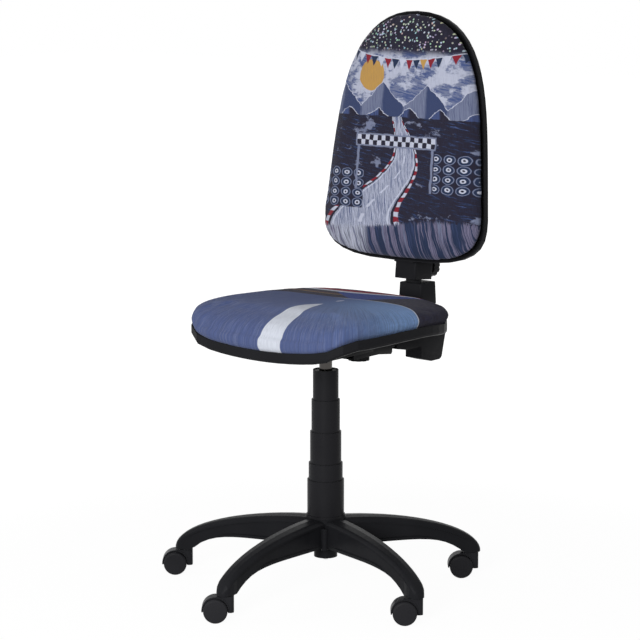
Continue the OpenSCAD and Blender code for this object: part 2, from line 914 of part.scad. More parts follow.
module depth_knob() {
    color("#141416")
        translate([0, depth_knob_y, bracket_floor_z - run_gap])
            union() {
                translate([0, 0, -knob_neck_h - knob_h]) hand_knob(knob_h);
                translate([0, 0, -knob_neck_h]) cylinder(h = knob_neck_h, r = knob_neck_r);
                cylinder(h = bracket_floor_t + run_gap, r = knob_screw_r);
            }
}

// Side view of the bent bar as [y, z] points, grown by extra all round
bend_angle = 90 - back_tilt;
leg_foot = [
    back_seam_y + bar_in_back * cos(back_tilt),
    back_low_z - bar_in_back * sin(back_tilt)
];
leg_dir = [sin(back_tilt), cos(back_tilt)];
leg_out = [cos(back_tilt), -sin(back_tilt)];
corner_y = leg_foot[0] - (leg_foot[1] - bar_z) * tan(back_tilt);
bend_centre = [corner_y - bar_bend_r * tan(bend_angle / 2), bar_z + bar_bend_r];
bend_steps = 8;
function bend_arc(r) = [
    for (k = [0:bend_steps])
        let (a = -90 + bend_angle * k / bend_steps) bend_centre + r * [cos(a), sin(a)]
];
function bar_side(extra) =
    let (
        half = bar_t / 2 + extra,
        leg_end = leg_foot + (bar_end_up + extra) * leg_dir,
        inner = bend_arc(bar_bend_r - half)
    )
        concat(
            [[bar_front_y - extra, bar_z - half]],
            bend_arc(bar_bend_r + half),
            [leg_end + half * leg_out, leg_end - half * leg_out],
            [for (i = [len(inner) - 1:-1:0]) inner[i]],
            [[bar_front_y - extra, bar_z + half]]
        );

module back_bar() {
    color("#1f2023") side_prism(bar_side(0), bar_w / 2);
}

// Boot over the bend of the bar, reaching forward along it and hanging below it at the rear
elbow_front_y = sleeve_front_y - elbow_front_out;
elbow_low_z = bar_z - bar_t / 2 - elbow_under;
elbow_rear_y = sleeve_rear_y + elbow_rear_out;
elbow_bulge_z = elbow_low_z + elbow_bulge_up;
lobe_low_z = bar_z - bar_t / 2 - lobe_under;
lobe_front_y = sleeve_front_y + lobe_front_in;
lobe_rear_y = sleeve_rear_y + lobe_rear_out;
boot_front_y = sleeve_front_y - boot_front_in;
boot_top_z = bar_z + bar_t / 2 + boot_over;
module elbow_cover() {
    color("#19191c")
        difference() {
            side_prism(concat(
                [
                    [boot_front_y, elbow_low_z + boot_front_rise],
                    [sleeve_front_y - boot_step_in, elbow_low_z],
                    [lobe_front_y, elbow_low_z],
                    [lobe_front_y, lobe_low_z + lobe_rise],
                    [sleeve_front_y + lobe_flat_in, lobe_low_z]
                ],
                [for (a = [-90:15:0])
                    [lobe_rear_y - lobe_round * (1 - cos(a)), lobe_low_z + lobe_round * (1 + sin(a))]],
                [
                    [elbow_rear_y, elbow_bulge_z],
                    [elbow_rear_y - elbow_nip, elbow_bulge_z + elbow_bulge_h],
                    [sleeve_rear_y + elbow_top_out, sleeve_low_z - run_gap],
                    [elbow_front_y, sleeve_low_z - run_gap],
                    [elbow_front_y, boot_top_z + boot_neck_up],
                    [elbow_front_y - boot_neck_in, boot_top_z],
                    [boot_front_y, boot_top_z]
                ]
            ), elbow_half_w);
            side_prism(bar_side(fit_gap), bar_w / 2 + fit_gap);
        }
}

module post_sleeve() {
    h = sleeve_top_z - sleeve_low_z;
    middle = (sleeve_front_y + sleeve_rear_y) / 2;
    half = (sleeve_rear_y - sleeve_front_y) / 2;
    color("#1c1d20")
        difference() {
            translate([0, middle, sleeve_low_z])
                soft_block(-sleeve_half_w, sleeve_half_w, -half, half, h, sleeve_round, sleeve_taper_share);
            translate([0, middle, sleeve_low_z - cut_over])
                soft_block(
                    -sleeve_half_w + sleeve_wall, sleeve_half_w - sleeve_wall,
                    -half + sleeve_wall, half - sleeve_wall,
                    h + cut_over - sleeve_wall, sleeve_round - sleeve_wall / 2, sleeve_taper_share
                );
            side_prism(bar_side(fit_gap), bar_w / 2 + fit_gap);
        }
}

// Seat outline, scaled by s: fuller corners in front than behind
function seat_xy(a, s) =
    let (
        c = cos(a), q = sin(a),
        power = q < 0 ? seat_front_power : seat_rear_power,
        m = pow(pow(abs(c), power) + pow(abs(q), power), -1 / power),
        y = seat_half_d * m * q,
        x = seat_half_w * m * c
    )
        [s * x, s * y];
// Height of the pan's edge at a place on the outline
function rim_at(e) =
    rim_z
    - front_drop * (1 - front_corner_share * pow(e[0] / seat_half_w, 2))
        * smooth(
            (-e[1] / seat_half_d - front_fall_from_share) / (front_fall_to_share - front_fall_from_share)
        )
    - rear_drop * smooth((e[1] / seat_half_d - rear_fall_from_share) / (1 - rear_fall_from_share));
// Height of the middle of the cushion, a little lower towards the back
function crown_at(y) = seat_crown_z - seat_rear_sink * smooth((y + seat_half_d / 2) / seat_half_d);
function seat_ring(s, rise, grow) = [
    for (i = [0:seat_steps - 1])
        let (a = 360 * i / seat_steps, p = seat_xy(a, s + grow / seat_half_w), e = seat_xy(a, 1))
            [p[0], p[1], rim_at(e) + rise]
];
// How far the cushion stands out past the edge of the pan
function bulge_at(y) =
    seat_bulge_rear
    + (seat_bulge_front - seat_bulge_rear) * smooth((seat_bulge_turn_share * seat_half_d - y) / seat_d);
function bulge_ring(share, rise) = [
    for (i = [0:seat_steps - 1])
        let (
            a = 360 * i / seat_steps,
            e = seat_xy(a, 1),
            p = seat_xy(a, 1 + share * bulge_at(e[1]) / seat_half_w)
        )
            [p[0], p[1], rim_at(e) + rise]
];
function flat_ring(s, z) = [
    for (i = [0:seat_steps - 1])
        let (p = seat_xy(360 * i / seat_steps, s)) [p[0], p[1], z]
];

module seat_bolts() {
    shank = bolt_head_h + steel_t + pan_wall + board_t - cut_over;
    color("#8d9094")
        for (x = [-bolt_x, bolt_x], y = [bolt_front_y, bolt_rear_y])
            translate([x, y, mech_top_z - bolt_head_h - fit_gap])
                union() {
                    cylinder(h = bolt_head_h, r = bolt_head_r, $fn = 6);
                    cylinder(h = shank, r = bolt_r);
                }
}

module seat_board() {
    board_z = pan_floor_z + pan_wall + fit_gap;
    color("#b08d5b")
        difference() {
            translate([0, 0, board_z])
                linear_extrude(board_t - fit_gap)
                    polygon([for (i = [0:seat_steps - 1]) seat_xy(360 * i / seat_steps, board_share)]);
            for (x = [-bolt_x, bolt_x], y = [bolt_front_y, bolt_rear_y])
                translate([x, y, board_z - cut_over]) cylinder(h = board_t + 2 * cut_over, r = bolt_hole_r);
            for (x = [-arm_hole_x, arm_hole_x], y = [-arm_hole_gap / 2, arm_hole_gap / 2])
                translate([x, y, board_z - cut_over]) cylinder(h = board_t + 2 * cut_over, r = arm_hole_r);
        }
}

module seat_pan() {
    color("#1a1a1d")
        difference() {
            loft([
                flat_ring(0.4, pan_floor_z),
                flat_ring(pan_flat_share, pan_floor_z),
                seat_ring(pan_inner_share, -band_h, 0),
                seat_ring(pan_turn_share, -band_h, 0),
                seat_ring(0.992, -band_h * 0.9, 0),
                seat_ring(1, -band_h * 0.7, 0),
                seat_ring(1, 0, 0),
                seat_ring(1, 0, -pan_wall),
                seat_ring(pan_inner_share, pan_wall - band_h, -pan_wall / 2),
                flat_ring(pan_flat_share, pan_floor_z + pan_wall),
                flat_ring(0.4, pan_floor_z + pan_wall)
            ]);
            for (x = [-bolt_x, bolt_x], y = [bolt_front_y, bolt_rear_y])
                translate([x, y, pan_floor_z - cut_over])
                    cylinder(h = pan_wall + 2 * cut_over, r = bolt_hole_r, $fn = 24);
            for (x = [-arm_hole_x, arm_hole_x], y = [-arm_hole_gap / 2, arm_hole_gap / 2])
                translate([x, y, pan_floor_z - cut_over])
                    cylinder(h = pan_wall + 2 * cut_over, r = arm_clear_r, $fn = 24);
        }
}

// Foam and cover: flat on the board, tucked inside the edge of the pan, bulging over it and
// crowned on top
seat_low_z = pan_floor_z + pan_wall + board_t + run_gap;
seat_top_shares = [0.97, 0.92, 0.84, 0.72, 0.55, 0.35, 0.15];
function seat_top_ring(s) = [
    for (i = [0:seat_steps - 1])
        let (
            a = 360 * i / seat_steps,
            e = seat_xy(a, 1),
            p = seat_xy(a, s * (1 + bulge_at(e[1]) / seat_half_w)),
            edge = rim_at(e) + seat_bulge_z
        )
            [p[0], p[1], edge + (crown_at(p[1]) - edge) * sqrt(1 - pow(s, seat_top_power))]
];
module seat_cushion() {
    color("#5a6da0")
        loft(concat(
            [
                flat_ring(0.3, seat_low_z),
                flat_ring(board_share, seat_low_z),
                seat_ring(1, -seat_tuck, -pan_wall - seat_tuck_in),
                seat_ring(1, run_gap, -pan_wall - run_gap),
                bulge_ring(0.45, seat_bulge_z * 0.2),
                bulge_ring(0.82, seat_bulge_z * 0.55),
                bulge_ring(1, seat_bulge_z)
            ],
            [for (s = seat_top_shares) seat_top_ring(s)]
        ));
}

// Backrest
module back_place() {
    translate([0, back_seam_y, back_low_z]) rotate([-back_tilt, 0, 0]) children();
}

// Half width of the backrest at share t of its height
function back_half(t) =
    t < back_belly_share
        ? back_half_w
            * pow(max(0, 1 - pow(1 - t / back_belly_share, back_corner_power)), 1 / back_corner_power)
        : let (u = (t - back_belly_share) / (1 - back_belly_share))
            back_half_w * (1 - back_narrow_share * u)
                * pow(max(0, 1 - pow(u, back_top_power)), back_top_root_share);
// Outline scaled by s about the middle and grown outwards, as [x, z] points
function back_xz(i, s, grow) =
    let (
        a = 360 * i / back_steps,
        t = (1 - cos(a)) / 2,
        x = back_half(t) * (a <= 180 ? 1 : -1),
        z = back_h * (t - back_centre_share),
        k = s + grow / back_half_w
    )
        [k * x, back_h * back_centre_share + z * (s + 2 * grow / back_h)];
function back_ring(s, y, grow) = [
    for (i = [0:back_steps - 1])
        let (p = back_xz(i, s, grow)) [p[0], y, p[1]]
];

module back_cushion() {
    shares = [0.97, 0.92, 0.84, 0.72, 0.55, 0.35, 0.15];
    color("#454a63")
        back_place()
            loft(concat(
                [back_ring(0.3, -run_gap, 0), back_ring(0.985, -run_gap, 0), back_ring(1, -back_edge, 0)],
                [
                    for (s = shares)
                        back_ring(
                            s, -back_edge - (back_pad - back_edge) * sqrt(1 - pow(s, back_pad_power)), 0
                        )
                ]
            ));
}

module back_board() {
    color("#b08d5b")
        back_place()
            difference() {
                translate([0, back_board_t, 0]) rotate([90, 0, 0])
                    linear_extrude(back_board_t - run_gap)
                        polygon([for (i = [0:back_steps - 1]) back_xz(i, back_board_share, 0)]);
                for (x = [-screw_x, screw_x], z = [screw_low, screw_high])
                    translate([x, -cut_over, z + flange_low]) rotate([-90, 0, 0])
                        cylinder(h = back_board_t + 2 * cut_over, r = screw_r + fit_gap);
            }
}

// Outline of the hump at one height, rounded on its two rear edges and square in front. A ring
// of its bore lies a wall inside it, and starts in front of it so that the cut is clean.
function hump_ring(z, half, depth, round = hump_round, over = 0) = [
    for (p = concat(
        [[half, back_board_t + run_gap - over]],
        [for (a = [0:15:90]) [half - round * (1 - cos(a)), depth - round * (1 - sin(a))]],
        [for (a = [90:15:180]) [round * (1 + cos(a)) - half, depth - round * (1 - sin(a))]],
        [[-half, back_board_t + run_gap - over]]
    )) [p[0], p[1], z]
];
function bore_ring(z) = hump_ring(
    z, hump_half_w - hump_wall, hump_depth - hump_wall, hump_round - hump_wall, cut_over
);

// Rear shell with a hump over the back bar, open at the bottom for the carriage
module back_shell() {
    shares = [0.3, 0.55, 0.75, 0.9];
    color("#1a1a1d")
        back_place()
            difference() {
                union() {
                    loft(concat(
                        [for (s = shares) back_ring(s, back_band + back_dome * (1 - s * s), 0)],
                        [back_ring(1, back_band * 0.8, back_lip * 0.6), back_ring(1, 0, back_lip)],
                        [back_ring(1, 0, -back_seam_in), back_ring(0.96, back_band - back_wall, 0)],
                        [
                            back_ring(0.75, back_band + back_dome * 0.4 - back_wall, 0),
                            back_ring(0.3, back_band + back_dome * 0.9 - back_wall, 0)
                        ]
                    ));
                    loft([
                        hump_ring(hump_low, hump_half_w - hump_edge, hump_depth - hump_edge),
                        hump_ring(hump_low + hump_edge, hump_half_w, hump_depth),
                        hump_ring(hump_top, hump_half_w, hump_depth),
                        hump_ring((hump_top + hump_end) / 2, hump_mid_half, hump_mid_depth),
                        hump_ring(hump_end, hump_end_half, back_band + back_dome - hump_wall)
                    ]);
                }
                loft([bore_ring(hump_low - cut_over), bore_ring(hump_top)]);
            }
}

module back_carriage() {
    slot_half = bar_w / 2 + run_gap;
    color("#17171a")
        back_place()
            difference() {
                union() {
                    translate([0, 0, carriage_low]) soft_block(
                        -carriage_half_w, carriage_half_w, carriage_front, carriage_rear,
                        carriage_top - carriage_low, carriage_round
                    );
                    translate([-guide_half_w, back_board_t + fit_gap, carriage_top - cut_over])
                        cube([
                            2 * guide_half_w,
                            guide_rear - back_board_t - fit_gap,
                            guide_top - carriage_top + cut_over
                        ]);
                    translate([-flange_half_w, back_board_t + fit_gap, flange_low])
                        cube([2 * flange_half_w, flange_t, guide_top - flange_low + screw_head_r]);
                }
                translate([-slot_half, bar_in_back - bar_t / 2 - run_gap, carriage_low - cut_over])
                    cube([
                        2 * slot_half,
                        bar_t + 2 * run_gap,
                        guide_top - carriage_low + 2 * cut_over + screw_head_r
                    ]);
                translate([0, bar_in_back, height_knob_z]) rotate([-90, 0, 0])
                    cylinder(h = carriage_rear, r = knob_screw_r + spin_gap);
                for (x = [-screw_x, screw_x], z = [screw_low, screw_high])
                    translate([x, back_board_t, z + flange_low]) rotate([-90, 0, 0])
                        cylinder(h = flange_t + cut_over, r = screw_r + fit_gap);
            }
}

module height_knob() {
    screw_len = carriage_rear + run_gap - (bar_in_back + bar_t / 2 + run_gap);
    color("#141416")
        back_place()
            translate([0, carriage_rear + run_gap, height_knob_z]) rotate([-90, 0, 0])
                union() {
                    translate([0, 0, height_knob_neck]) hand_knob(height_knob_h);
                    cylinder(h = height_knob_neck, r = knob_neck_r);
                    translate([0, 0, -screw_len]) cylinder(h = screw_len, r = knob_screw_r);
                }
}

module back_screws() {
    color("#8d9094")
        back_place()
            for (x = [-screw_x, screw_x], z = [screw_low, screw_high])
                translate([x, back_board_t + flange_t + 2 * fit_gap, z + flange_low])
                    union() {
                        rotate([-90, 0, 0]) cylinder(h = screw_head_h, r = screw_head_r, $fn = 32);
                        rotate([90, 0, 0]) cylinder(h = screw_in + flange_t, r = screw_r, $fn = 32);
                    }
}

star_base();
caster_stems();
for (i = [1:5]) at_caster(i) caster_fork();
for (i = [1:5]) at_caster(i) caster_axle();
for (i = [1:5]) at_caster(i) caster_wheel(1);
for (i = [1:5]) at_caster(i) caster_wheel(-1);
column_tube();
guide_bush();
thrust_race();
thrust_balls();
thrust_cap();
bump_rubber();
rod_clip();
piston_rod();
rod_gland();
gas_cylinder();
valve_pin();
for (k = [1:5]) cover_stage(k);
taper_socket();
mech_housing();
pivot_shaft();
back_spring();
lever_rod();
lever_paddle();
back_bracket();
depth_knob();
back_bar();
elbow_cover();
post_sleeve();
seat_bolts();
seat_board();
seat_pan();
seat_cushion();
back_carriage();
height_knob();
back_screws();
back_board();
back_shell();
back_cushion();
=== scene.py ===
import json
import math

import bmesh
import bpy
from mathutils import Matrix, Vector


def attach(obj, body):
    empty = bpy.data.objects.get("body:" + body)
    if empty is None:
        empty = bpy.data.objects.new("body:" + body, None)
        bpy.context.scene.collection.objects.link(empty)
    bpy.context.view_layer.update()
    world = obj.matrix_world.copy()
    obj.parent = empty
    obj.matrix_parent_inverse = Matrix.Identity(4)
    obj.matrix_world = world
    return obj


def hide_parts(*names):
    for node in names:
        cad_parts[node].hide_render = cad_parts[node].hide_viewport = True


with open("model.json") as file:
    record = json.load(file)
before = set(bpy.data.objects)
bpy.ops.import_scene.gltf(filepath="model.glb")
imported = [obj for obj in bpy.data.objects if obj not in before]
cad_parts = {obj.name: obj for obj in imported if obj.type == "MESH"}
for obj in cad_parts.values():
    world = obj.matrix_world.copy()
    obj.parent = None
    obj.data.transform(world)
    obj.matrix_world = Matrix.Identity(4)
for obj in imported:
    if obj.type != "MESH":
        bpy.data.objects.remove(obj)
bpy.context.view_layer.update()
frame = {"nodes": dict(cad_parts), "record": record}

NODES = frame["nodes"]


# Camera: the photograph's viewing angle, measured from the floor under the column
CAMERA_TURN = math.radians(38.5)
CAMERA_PITCH = math.radians(9.54)
CAMERA_BACK = 5.126
CAMERA_SIDE = -0.0121
CAMERA_UP = 1.442
CAMERA_LENS = 138.7

camera = bpy.data.objects.new("camera", bpy.data.cameras.new("camera"))
bpy.context.scene.collection.objects.link(camera)
across = Vector((math.cos(CAMERA_TURN), math.sin(CAMERA_TURN), 0))
away = Vector((-math.sin(CAMERA_TURN), math.cos(CAMERA_TURN), 0))
camera.location = across * CAMERA_SIDE - away * CAMERA_BACK + Vector((0, 0, CAMERA_UP))
camera.rotation_euler = (math.pi / 2 - CAMERA_PITCH, 0, CAMERA_TURN)
camera.data.lens = CAMERA_LENS
camera.data.clip_end = 60
bpy.context.scene.camera = camera


# Star base: one moulding of black glass-filled nylon, whose faces carry the fine grain of a
# spark-eroded mould. Bright steel is the finish of the small bare parts, such as the castors'
# stems and the thrust bearing.
SLOT_OF = {part["node"]: part["material_slot"] for part in frame["record"]["subparts"]}
BODY_OF = {node: body for body, nodes in frame["record"]["behaviour"]["bodies"].items() for node in nodes}
FINISH = {}
SMOOTH_ANGLE = math.radians(32)


class Value:
    """A number that varies over a surface. Sums and products of values make math nodes."""

    def __init__(self, shader, socket):
        self.shader, self.socket = shader, socket

    def math(self, kind, *others):
        return self.shader.math(kind, self, *others)

    def __add__(self, other):
        return self.math("ADD", other)

    def __sub__(self, other):
        return self.math("SUBTRACT", other)

    def __mul__(self, other):
        return self.math("MULTIPLY", other)

    def __truediv__(self, other):
        return self.math("DIVIDE", other)

    def __rsub__(self, other):
        return self.shader.math("SUBTRACT", other, self)

    __radd__, __rmul__ = __add__, __mul__

    def over(self, edge, blur=0.001):
        """1 where this is more than edge, 0 where it is less, with a soft step between."""
        node = self.shader.node("ShaderNodeMapRange", interpolation_type="SMOOTHSTEP")
        self.shader.feed(node.inputs["Value"], self)
        self.shader.feed(node.inputs["From Min"], edge - blur)
        self.shader.feed(node.inputs["From Max"], edge + blur)
        return Value(self.shader, node.outputs["Result"])

    def under(self, edge, blur=0.001):
        return 1.0 - self.over(edge, blur)

    def between(self, low, high, blur=0.001):
        return self.over(low, blur) * self.under(high, blur)

    def near(self, place, half, blur=0.001):
        """1 within half of place: a line."""
        return (self - place).math("ABSOLUTE").under(half, blur)


class Shader:
    """A new material, or the node tree of a group or the world, and the calls that add nodes to it."""

    def __init__(self, name, tree=None):
        if tree:
            self.tree = tree
            return
        self.material = bpy.data.materials.new(name)
        self.material.use_nodes = True
        self.tree = self.material.node_tree
        self.bsdf = next(n for n in self.tree.nodes if n.type == "BSDF_PRINCIPLED")

    def node(self, kind, **settings):
        node = self.tree.nodes.new(kind)
        for key, value in settings.items():
            setattr(node, key, value)
        return node

    def feed(self, socket, value):
        if isinstance(value, Value):
            value = value.socket
        if isinstance(value, bpy.types.NodeSocket):
            self.tree.links.new(value, socket)
        elif socket.type == "RGBA" and len(value) == 3:
            socket.default_value = (*value, 1)
        else:
            socket.default_value = value

    def math(self, kind, *values):
        node = self.node("ShaderNodeMath", operation=kind)
        for socket, value in zip(node.inputs, values):
            self.feed(socket, value)
        return Value(self, node.outputs[0])

    def largest(self, first, *rest):
        for value in rest:
            first = self.math("MAXIMUM", first, value)
        return first

    def place(self):
        """x, y and z of the surface in metres, on Object coordinates."""
        node = self.node("ShaderNodeSeparateXYZ")
        self.feed(node.inputs[0], self.node("ShaderNodeTexCoord").outputs["Object"])
        return [Value(self, s) for s in node.outputs]

    def point(self, x, y, z=0.0):
        """A vector made of three numbers, for a texture to be read at."""
        node = self.node("ShaderNodeCombineXYZ")
        for socket, value in zip(node.inputs, (x, y, z)):
            self.feed(socket, value)
        return node.outputs[0]

    def noise(self, where=None, scale=1.0, detail=2.0, rough=0.5, warp=0.0):
        node = self.node("ShaderNodeTexNoise")
        if where is None:
            where = self.node("ShaderNodeTexCoord").outputs["Object"]
        self.feed(node.inputs["Vector"], where)
        settings = {"Scale": scale, "Detail": detail, "Roughness": rough, "Distortion": warp}
        for key, value in settings.items():
            self.feed(node.inputs[key], value)
        return Value(self, node.outputs["Fac"])

    def cells(self, where, scale, output="Color"):
        node = self.node("ShaderNodeTexVoronoi")
        self.feed(node.inputs["Vector"], where)
        self.feed(node.inputs["Scale"], scale)
        return node.outputs[output]

    def mix(self, share, first, second):
        """Colour from first to second as share goes from 0 to 1."""
        node = self.node("ShaderNodeMix", data_type="RGBA")
        self.feed(node.inputs[0], share)
        self.feed(node.inputs[6], first)
        self.feed(node.inputs[7], second)
        return node.outputs[2]

    def paint(self, base, *layers):
        """Lays each (share, colour) over base, in order."""
        for share, colour in layers:
            base = self.mix(share, base, colour)
        return base

    def bump(self, height, depth):
        node = self.node("ShaderNodeBump")
        self.feed(node.inputs["Height"], height)
        self.feed(node.inputs["Distance"], depth)
        self.feed(node.inputs["Strength"], 1.0)
        self.feed(self.bsdf.inputs["Normal"], node.outputs[0])

    def use(self, group, **inputs):
        """Adds a node group and returns its outputs by name."""
        node = self.node("ShaderNodeGroup", node_tree=group)
        for key, value in inputs.items():
            self.feed(node.inputs[key.replace("_", " ")], value)
        return {s.name: Value(self, s) for s in node.outputs}

    def set(self, **inputs):
        for key, value in inputs.items():
            self.feed(self.bsdf.inputs[key.replace("_", " ")], value)
        return self.material


def make_group(name, inputs, outputs, body):
    """Node group whose outputs are what body(shader, inputs by name) returns, by name."""
    shader = Shader(name, bpy.data.node_groups.new(name, "ShaderNodeTree"))
    for label, start in inputs.items():
        socket = shader.tree.interface.new_socket(name=label, in_out="INPUT", socket_type="NodeSocketFloat")
        socket.default_value = start
    for label in outputs:
        shader.tree.interface.new_socket(name=label, in_out="OUTPUT", socket_type="NodeSocketFloat")
    source = shader.node("NodeGroupInput")
    drain = shader.node("NodeGroupOutput")
    results = body(shader, {s.name: Value(shader, s) for s in source.outputs if s.name})
    for label, value in results.items():
        shader.feed(drain.inputs[label], value)
    return shader.tree


BROAD_PATCHES = 9.0


def grain_body(shader, given):
    """Spark-eroded mould grain: fine pits, with broad patches of slightly other gloss."""
    fine = shader.noise(scale=given["Grain per metre"], detail=3.0, rough=0.6)
    broad = shader.noise(scale=BROAD_PATCHES)
    return {"Height": fine, "Gloss": broad - 0.5, "Tint": fine * 0.5 + broad * 0.5}


GRAIN = make_group("mould_grain", {"Grain per metre": 900.0}, ("Height", "Gloss", "Tint"), grain_body)


GLOSS_DRIFT = 0.25
TINT_GAIN, TINT_LIFT = 1.5, 0.002


def plastic(name, colour, roughness, grain, depth, shine=0.05):
    """Moulded plastic with a grained face whose gloss drifts a little from place to place."""
    shader = Shader(name)
    g = shader.use(GRAIN, Grain_per_metre=grain)
    light = tuple(c * TINT_GAIN + TINT_LIFT for c in colour)
    shader.bump(g["Height"], depth)
    return shader.set(
        Base_Color=shader.mix(g["Tint"].over(0.5, 0.25), colour, light),
        Roughness=g["Gloss"] * GLOSS_DRIFT + roughness,
        Specular_IOR_Level=shine,
    )


SCRATCHES_ACROSS, SCRATCHES_ALONG = 300.0, 4000.0
SCRATCH_DEPTH, BRUSHED_DEPTH = 0.00002, 0.00005
CLOUDS_PER_METRE = 30.0
STEEL_SHINE, STEEL_SHADE = 0.05, 0.8


def steel(name, colour, roughness, brushed=0.0, metal=1.0):
    """Steel: plated and finely brushed, or coated when metal is 0."""
    shader = Shader(name)
    x, y, z = shader.place()
    lines = shader.point(x * SCRATCHES_ACROSS, y * SCRATCHES_ACROSS, z * SCRATCHES_ALONG)
    scratch = shader.noise(lines, detail=3.0)
    cloud = shader.noise(scale=CLOUDS_PER_METRE, detail=3.0)
    shader.bump(scratch, SCRATCH_DEPTH + brushed * BRUSHED_DEPTH)
    dark = tuple(c * STEEL_SHADE for c in colour)
    return shader.set(
        Base_Color=shader.mix(cloud, dark, colour),
        Metallic=metal,
        Specular_IOR_Level=STEEL_SHINE,
        Roughness=roughness + 0.12 * (cloud - 0.5) + brushed * 0.2 * (scratch - 0.5),
    )


def dress(slot, make, **finish):
    """Makes a slot's material and gives it to its CAD nodes, with their curved faces shaded smooth."""
    FINISH[slot] = material = make(slot, **finish)
    for name, node in NODES.items():
        if SLOT_OF[name] != slot:
            continue
        node.data.materials.clear()
        node.data.materials.append(material)
        for face in node.data.polygons:
            face.use_smooth = True
        node.data.set_sharp_from_angle(angle=SMOOTH_ANGLE)


def add_piece(name, bm, material, body, slot, *stands_for):
    """Turns a bmesh into a piece that rides on a body and stands for CAD nodes."""
    mesh = bpy.data.meshes.new(name)
    bm.to_mesh(mesh)
    bm.free()
    piece = bpy.data.objects.new(name, mesh)
    bpy.context.scene.collection.objects.link(piece)
    mesh.materials.append(material)
    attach(piece, body)
    if stands_for:
        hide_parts(*stands_for)
    return piece


MERGE_DISTANCE = 1e-6
FLAT_ANGLE = math.radians(1)
EDGE_ANGLE = math.radians(30)
EDGE_STEPS = 2


def moulded(node, radius):
    """The CAD node again, with its sharp edges rounded as a mould or press leaves them."""
    bm = bmesh.new()
    bm.from_mesh(NODES[node].data)
    bmesh.ops.remove_doubles(bm, verts=bm.verts, dist=MERGE_DISTANCE)
    bmesh.ops.dissolve_limit(bm, angle_limit=FLAT_ANGLE, verts=bm.verts, edges=bm.edges)
    for face in bm.faces:
        face.smooth = True
    piece = add_piece(node + "_moulded", bm, FINISH[SLOT_OF[node]], BODY_OF[node], SLOT_OF[node], node)
    bevel = piece.modifiers.new("rounded_edges", "BEVEL")
    bevel.width = radius
    bevel.segments = EDGE_STEPS
    bevel.limit_method = "ANGLE"
    bevel.angle_limit = EDGE_ANGLE
    bevel.harden_normals = True


BASE_BLACK = (0.0105, 0.0108, 0.0125)
dress("base_plastic", plastic, colour=BASE_BLACK, roughness=0.34, grain=1100.0, depth=0.00014, shine=0.04)
dress("bright_steel", steel, colour=(0.60, 0.60, 0.60), roughness=0.30, brushed=0.6)


# Castors: five twin-wheel castors of nylon, each a hooded fork on a steel stem with two
# wheels on one axle. The wheels are a little rougher and greyer than the hoods.
HOOD_BLACK, WHEEL_BLACK = (0.0145, 0.0148, 0.017), (0.0165, 0.0165, 0.0188)
dress("caster_plastic", plastic, colour=HOOD_BLACK, roughness=0.32, grain=1400.0, depth=0.00005)
dress("wheel_plastic", plastic, colour=WHEEL_BLACK, roughness=0.42, grain=500.0, depth=0.0002)


# Gas lift and its cover: a chromed spring that a white nylon bush guides in a black tube, with
# five telescopic sleeves of thin polypropylene round it. A rubber gland closes the spring's foot.
# The chrome's colour is set far darker than bright chrome: painted shade that stands in for the dark
# surroundings reflected in the spring. Only the lamps' reflections light it.
COVER_BLACK, CHROME_IN_PAINTED_SHADE, RUBBER_BLACK = (0.013, 0.013, 0.0148), (0.075, 0.07, 0.066), (0.012, 0.012, 0.012)
BUSH_WHITE = (0.72, 0.72, 0.68)
dress("cover_plastic", plastic, colour=COVER_BLACK, roughness=0.36, grain=1200.0, depth=0.00006)
dress("chrome_steel", steel, colour=CHROME_IN_PAINTED_SHADE, roughness=0.12, brushed=0.15)
dress("seal_rubber", plastic, colour=RUBBER_BLACK, roughness=0.7, grain=1500.0, depth=0.0001, shine=0.3)
dress("white_plastic", plastic, colour=BUSH_WHITE, roughness=0.45, grain=1200.0, depth=0.00004)


# Mechanism under the seat: a pressed housing with the recline bracket on its cross bolt.
# The plates are powder coated, and their cut edges are slightly rounded by the coating.
dress("black_steel", steel, colour=(0.0125, 0.013, 0.0148), roughness=0.35, metal=0.0)
for node, radius in (("mech_housing", 0.0012), ("back_bracket", 0.0012), ("back_bar", 0.0010)):
    moulded(node, radius)


# Lever and knobs: a wire rod bent twice, with a moulded paddle pressed on its end. The two
# knobs are the same black plastic, fluted for grip.
LEVER_R = 0.003
LEVER_BEND = 0.012
LEVER_Y, LEVER_TOP_Z, LEVER_END_Z = -0.020, 0.5473, 0.484
LEVER_ROUTE = (
    Vector((0.007, 0, LEVER_TOP_Z)),
    Vector((-0.028, LEVER_Y, LEVER_TOP_Z)),
    Vector((-0.062, LEVER_Y, LEVER_TOP_Z)),
    Vector((-0.132, LEVER_Y, LEVER_END_Z)),
)
ROD_SIDES, BEND_STEPS = 20, 10


